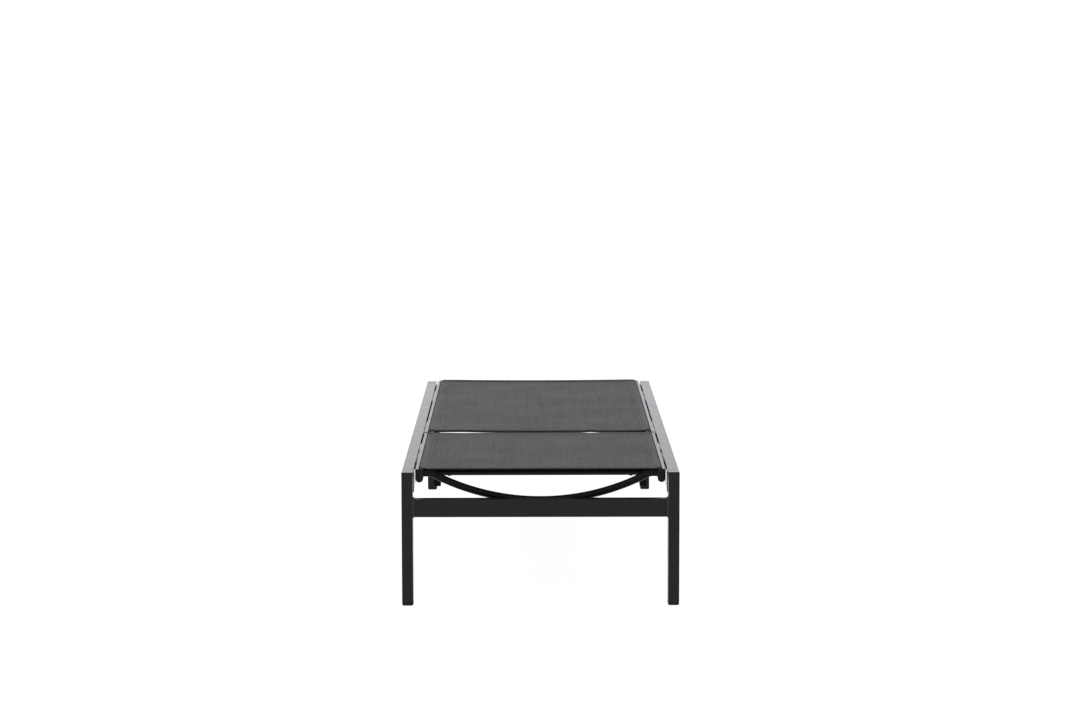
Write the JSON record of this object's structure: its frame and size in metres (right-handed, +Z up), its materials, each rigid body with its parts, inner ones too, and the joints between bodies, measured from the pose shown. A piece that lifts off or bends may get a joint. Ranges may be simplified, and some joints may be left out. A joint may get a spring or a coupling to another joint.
{
  "type": "reclining sun lounger",
  "caption": "Low reclining sun lounger: square-tube metal frame on four legs, fixed seat sling, and a hinged backrest sling propped by a bail on notched racks.",
  "frame": {"origin": "middle of the lounger's footprint on the floor", "axes": "+X across to the right as seen from the head end, +Y along the lounger from the head end to the foot end, +Z up"},
  "size_m": [0.74, 2, 0.3635],
  "materials": {
    "frame_paint": "matte textured powder coat, anthracite black",
    "sling_mesh": "woven PVC-coated polyester sling, charcoal",
    "black_plastic": "moulded black plastic",
    "rest_rubber": "black rubber",
    "fastener_steel": "stainless steel"
  },
  "bodies": {
    "frame": {"leg_head_left": "frame_paint", "leg_head_right": "frame_paint", "leg_foot_left": "frame_paint", "leg_foot_right": "frame_paint", "side_rail_left": "frame_paint", "side_rail_right": "frame_paint", "cross_rail_head": "frame_paint", "cross_rail_foot": "frame_paint", "glide_head_left": "black_plastic", "glide_head_right": "black_plastic", "glide_foot_left": "black_plastic", "glide_foot_right": "black_plastic", "seat_rail_left": "frame_paint", "seat_rail_right": "frame_paint", "seat_bow_hinge": "frame_paint", "seat_bow_middle": "frame_paint", "seat_keders": "black_plastic", "seat_sling": "sling_mesh", "seat_rail_spacers": "black_plastic", "seat_rail_screws": "fastener_steel", "seat_cap_hinge_left": "black_plastic", "seat_cap_hinge_right": "black_plastic", "seat_cap_foot_left": "black_plastic", "seat_cap_foot_right": "black_plastic", "hinge_bolt_left": "fastener_steel", "hinge_bolt_right": "fastener_steel", "hinge_washers": "black_plastic", "hinge_nuts": "fastener_steel", "rack_left": "frame_paint", "rack_right": "frame_paint", "rack_brackets_left": "frame_paint", "rack_brackets_right": "frame_paint", "rack_screws": "fastener_steel", "rack_nuts": "fastener_steel", "rest_block_left": "rest_rubber", "rest_block_right": "rest_rubber"},
    "backrest": {"back_rail_left": "frame_paint", "back_rail_right": "frame_paint", "back_bow_head": "frame_paint", "back_bow_hinge": "frame_paint", "back_keders": "black_plastic", "back_sling": "sling_mesh", "back_cap_head_left": "black_plastic", "back_cap_head_right": "black_plastic", "back_cap_hinge_left": "black_plastic", "back_cap_hinge_right": "black_plastic", "hinge_bush_left": "black_plastic", "hinge_bush_right": "black_plastic", "bail_bolts": "fastener_steel", "bail_washers": "black_plastic"},
    "bail": {"bail_pivot_tube": "frame_paint", "bail_arm_left": "frame_paint", "bail_arm_right": "frame_paint", "bail_crossbar": "frame_paint", "bail_caps": "black_plastic", "bail_plugs": "black_plastic"}
  },
  "joints": [
    {"name": "backrest_hinge", "type": "hinge", "parent": "frame", "child": "backrest", "pos_m": [0, -0.274, 0.342], "axis": [-1, 0, 0], "range_deg": [0, 70]},
    {"name": "bail_pivot", "type": "hinge", "parent": "backrest", "child": "bail", "pos_m": [0, -0.483, 0.342], "axis": [1, 0, 0], "range_deg": [0, 132]}
  ],
  "couplings": [
    {"joint": "bail_pivot", "follows": "backrest_hinge", "ratio": 1.88}
  ]
}
